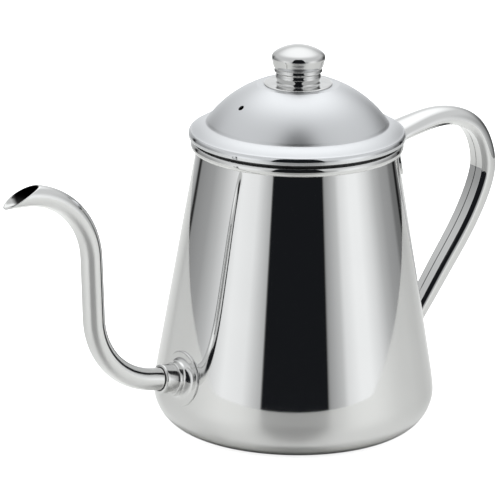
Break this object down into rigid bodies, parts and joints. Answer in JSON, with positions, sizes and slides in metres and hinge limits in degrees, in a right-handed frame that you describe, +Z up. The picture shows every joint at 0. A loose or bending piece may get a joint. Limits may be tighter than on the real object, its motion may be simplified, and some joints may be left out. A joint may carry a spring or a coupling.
{
  "type": "gooseneck kettle",
  "caption": "Pour-over kettle: a flared steel body with a long swan-neck spout, a loop handle and a domed lift-off lid with a turned knob.",
  "frame": {"origin": "on the body's axis at the plane that the kettle stands on, the centre of the base plate's underside", "axes": "+Z up along the body's axis, -X along the spout, +X towards the handle, Y across"},
  "size_m": [0.2848, 0.1372, 0.1898],
  "materials": {
    "polished_steel": "mirror-polished stainless steel",
    "satin_steel": "satin stainless steel, finely blasted",
    "raw_steel": "unpolished stainless steel",
    "weld_steel": "weld and solder metal"
  },
  "bodies": {
    "kettle": {"body_shell": "polished_steel", "base_plate": "raw_steel", "base_weld": "weld_steel", "spout_flange": "polished_steel", "spout_collar": "polished_steel", "spout_tube": "polished_steel", "spout_solder": "weld_steel", "handle_tube": "polished_steel", "handle_strap": "polished_steel"},
    "lid": {"lid_dome": "satin_steel", "lid_skirt": "satin_steel", "knob_seat": "polished_steel", "knob_base": "polished_steel", "knob_cap": "polished_steel", "knob_insert": "raw_steel", "knob_screw": "raw_steel", "flat_washer": "raw_steel", "lock_washer": "raw_steel"}
  },
  "joints": [
    {"name": "lid_lift", "type": "slide", "parent": "kettle", "child": "lid", "axis": [0, 0, 1], "range_m": [0, 0.06]}
  ]
}
